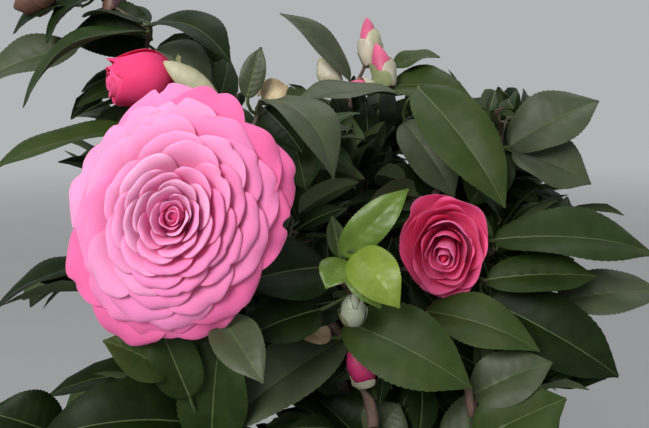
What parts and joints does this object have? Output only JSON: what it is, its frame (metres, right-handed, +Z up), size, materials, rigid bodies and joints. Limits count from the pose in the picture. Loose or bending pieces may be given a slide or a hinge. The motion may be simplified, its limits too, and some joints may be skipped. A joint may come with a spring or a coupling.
{
  "type": "potted camellia shrub",
  "caption": "Young evergreen camellia shrub with glossy pointed leaves and formal double pink blooms, standing in a plain round terracotta pot.",
  "frame": {"origin": "middle of the pot's flat underside", "axes": "+Z up along the pot's axis; the side with the large bloom, which the picture shows, faces -Y; +X is to the right of that view"},
  "size_m": [0.4325, 0.407, 0.647],
  "materials": {
    "pot": "plain fired terracotta, dry and matt",
    "soil": "moist crumbly potting soil",
    "bark": "smooth grey-brown bark with fine relief",
    "foliage": "glossy dark green leaves on brown and green twigs",
    "petals": "soft pink petals with a satin sheen"
  },
  "bodies": {
    "root": {"bloom_back": "petals", "bloom_back_right": "petals", "bloom_front": "petals", "bloom_opening": "petals", "bloom_right": "petals", "bough_back": "bark", "bough_back_left": "bark", "bough_back_right": "bark", "bough_centre": "bark", "bough_front_left": "bark", "bough_left": "bark", "bough_low_back": "bark", "bough_low_back_left": "bark", "bough_low_back_right": "bark", "bough_low_front": "bark", "bough_low_left": "bark", "bough_low_right": "bark", "bough_right": "bark", "bough_top_left": "bark", "bough_top_right": "bark", "foliage_back": "foliage", "foliage_back_left": "foliage", "foliage_back_right": "foliage", "foliage_centre": "foliage", "foliage_front_left": "foliage", "foliage_left": "foliage", "foliage_low_back": "foliage", "foliage_low_back_left": "foliage", "foliage_low_back_right": "foliage", "foliage_low_front": "foliage", "foliage_low_left": "foliage", "foliage_low_right": "foliage", "foliage_right": "foliage", "foliage_top": "foliage", "foliage_top_left": "foliage", "foliage_top_right": "foliage", "pot": "pot", "soil": "soil", "trunk": "bark"}
  },
  "joints": []
}
